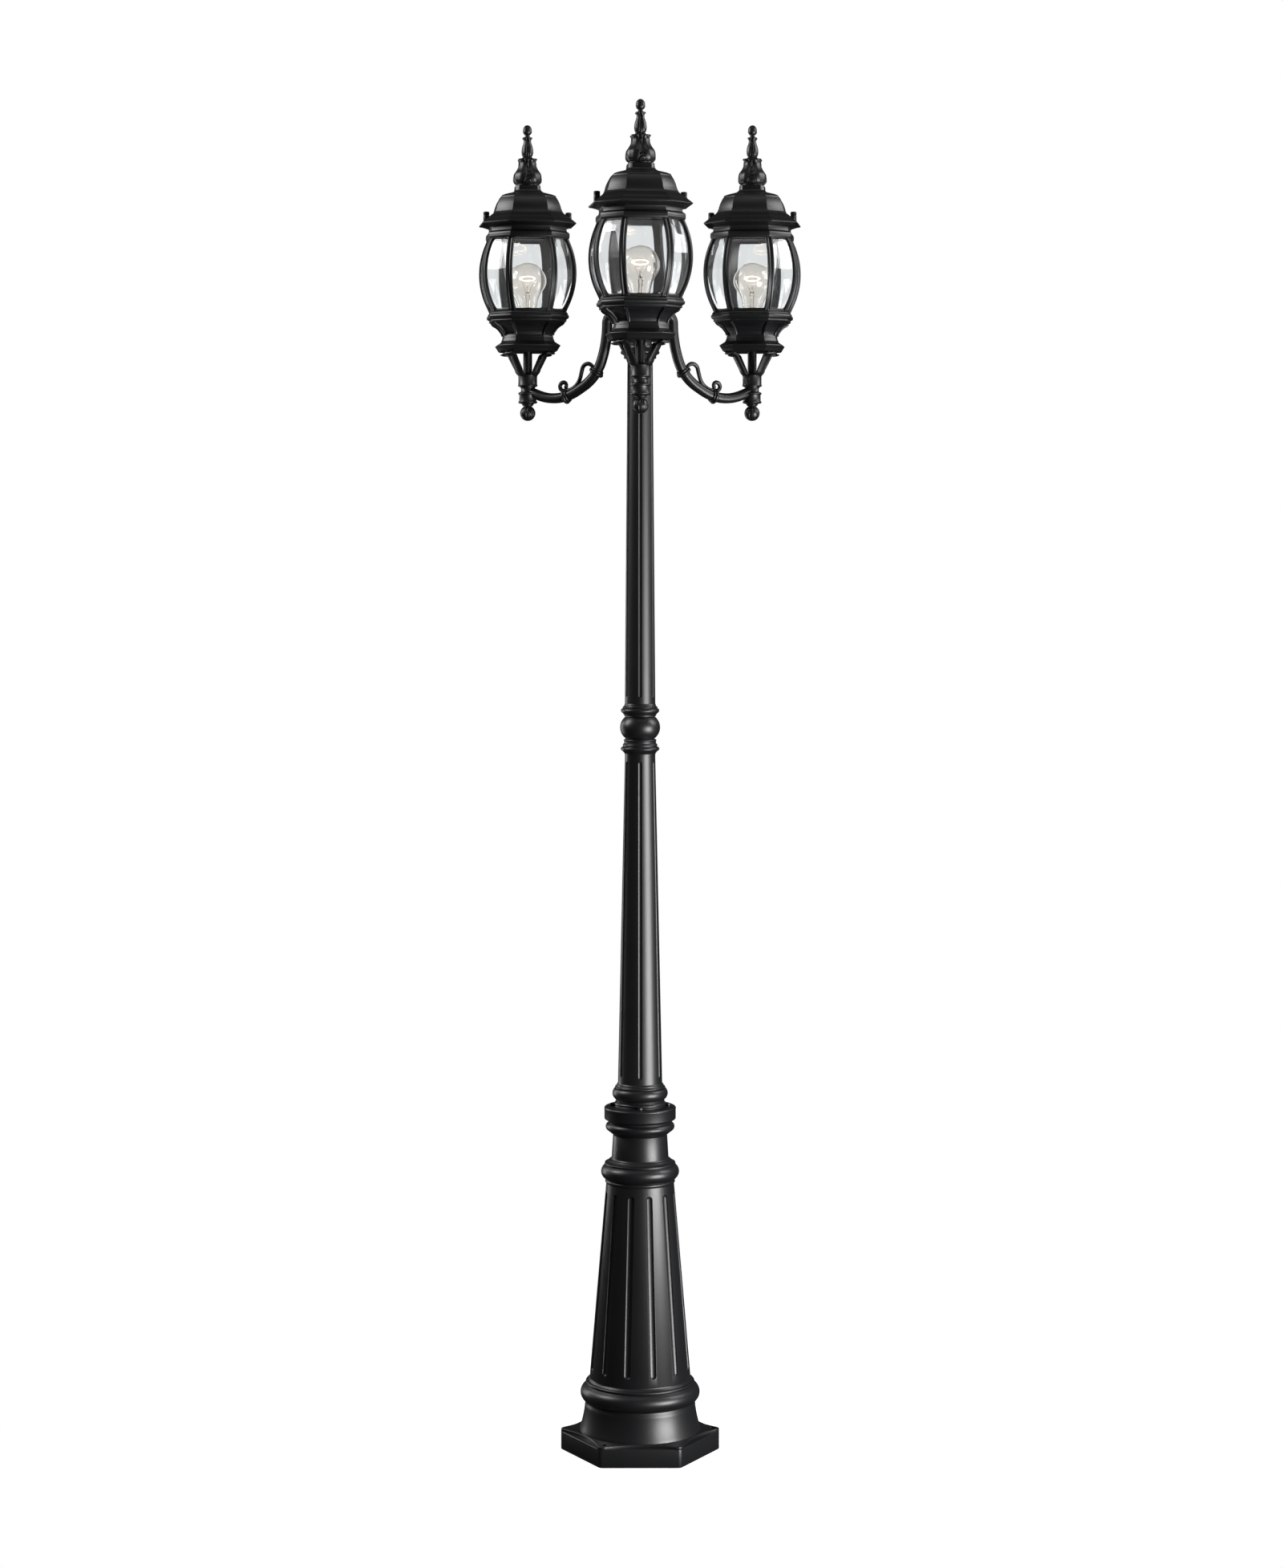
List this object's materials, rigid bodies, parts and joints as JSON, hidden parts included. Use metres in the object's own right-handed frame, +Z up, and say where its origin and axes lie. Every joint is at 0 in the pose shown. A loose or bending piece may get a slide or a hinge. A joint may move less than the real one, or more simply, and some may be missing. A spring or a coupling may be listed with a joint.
{
  "type": "triple head lamp post",
  "caption": "Black cast lamp post with a fluted base, tapered columns, scrolled arms and eight-sided glass lanterns.",
  "frame": {"origin": "post axis at the underside of the foot", "axes": "+Z up along the post; -Y towards the front lantern; +X to the right seen from the front"},
  "size_m": [0.5458, 0.4949, 2.2245],
  "materials": {
    "black_casting": "satin black powder coat",
    "pane_glass": "clear bevelled glass",
    "bulb_glass": "clear",
    "cap_metal": "nickel plated",
    "holder_body": "glazed",
    "screw_metal": "black"
  },
  "bodies": {
    "post": {"base_casting": "black_casting", "lower_column": "black_casting", "ball_coupling": "black_casting", "upper_column": "black_casting", "hub": "black_casting", "hub_cap": "black_casting", "front_arm": "black_casting", "front_knob": "black_casting", "front_strap_basket": "black_casting", "front_stem": "black_casting", "front_pan": "black_casting", "front_cage": "black_casting", "front_panes_wide": "pane_glass", "front_panes_narrow": "pane_glass", "front_lamp_holder": "holder_body", "left_arm": "black_casting", "left_knob": "black_casting", "left_strap_basket": "black_casting", "left_stem": "black_casting", "left_pan": "black_casting", "left_cage": "black_casting", "left_panes_wide": "pane_glass", "left_panes_narrow": "pane_glass", "left_lamp_holder": "holder_body", "right_arm": "black_casting", "right_knob": "black_casting", "right_strap_basket": "black_casting", "right_stem": "black_casting", "right_pan": "black_casting", "right_cage": "black_casting", "right_panes_wide": "pane_glass", "right_panes_narrow": "pane_glass", "right_lamp_holder": "holder_body"},
    "front_lid": {"front_roof": "black_casting", "front_finial": "black_casting"},
    "front_screw_a": {"front_thumb_screw_a": "screw_metal"},
    "front_screw_b": {"front_thumb_screw_b": "screw_metal"},
    "front_bulb": {"front_bulb_cap": "cap_metal", "front_bulb_glass": "bulb_glass"},
    "left_lid": {"left_roof": "black_casting", "left_finial": "black_casting"},
    "left_screw_a": {"left_thumb_screw_a": "screw_metal"},
    "left_screw_b": {"left_thumb_screw_b": "screw_metal"},
    "left_bulb": {"left_bulb_cap": "cap_metal", "left_bulb_glass": "bulb_glass"},
    "right_lid": {"right_roof": "black_casting", "right_finial": "black_casting"},
    "right_screw_a": {"right_thumb_screw_a": "screw_metal"},
    "right_screw_b": {"right_thumb_screw_b": "screw_metal"},
    "right_bulb": {"right_bulb_cap": "cap_metal", "right_bulb_glass": "bulb_glass"}
  },
  "joints": [
    {"name": "front_lid_lift", "type": "slide", "parent": "post", "child": "front_lid", "axis": [0, 0, 1], "range_m": [0, 0.12]},
    {"name": "front_screw_a_turn", "type": "hinge", "parent": "front_lid", "child": "front_screw_a", "pos_m": [-0.06898, -0.22747, 2.07], "axis": [0, 0, 1], "continuous": true},
    {"name": "front_screw_b_turn", "type": "hinge", "parent": "front_lid", "child": "front_screw_b", "pos_m": [0.06898, -0.21053, 2.07], "axis": [0, 0, 1], "continuous": true},
    {"name": "front_bulb_turn", "type": "hinge", "parent": "post", "child": "front_bulb", "pos_m": [0, -0.219, 1.9], "axis": [0, 0, 1], "continuous": true},
    {"name": "left_lid_lift", "type": "slide", "parent": "post", "child": "left_lid", "axis": [0, 0, 1], "range_m": [0, 0.12]},
    {"name": "left_screw_a_turn", "type": "hinge", "parent": "left_lid", "child": "left_screw_a", "pos_m": [-0.25864, 0.10103, 2.07], "axis": [0, 0, 1], "continuous": true},
    {"name": "left_screw_b_turn", "type": "hinge", "parent": "left_lid", "child": "left_screw_b", "pos_m": [-0.12068, 0.11797, 2.07], "axis": [0, 0, 1], "continuous": true},
    {"name": "left_bulb_turn", "type": "hinge", "parent": "post", "child": "left_bulb", "pos_m": [-0.18966, 0.1095, 1.9], "axis": [0, 0, 1], "continuous": true},
    {"name": "right_lid_lift", "type": "slide", "parent": "post", "child": "right_lid", "axis": [0, 0, 1], "range_m": [0, 0.12]},
    {"name": "right_screw_a_turn", "type": "hinge", "parent": "right_lid", "child": "right_screw_a", "pos_m": [0.12068, 0.11797, 2.07], "axis": [0, 0, 1], "continuous": true},
    {"name": "right_screw_b_turn", "type": "hinge", "parent": "right_lid", "child": "right_screw_b", "pos_m": [0.25864, 0.10103, 2.07], "axis": [0, 0, 1], "continuous": true},
    {"name": "right_bulb_turn", "type": "hinge", "parent": "post", "child": "right_bulb", "pos_m": [0.18966, 0.1095, 1.9], "axis": [0, 0, 1], "continuous": true}
  ]
}
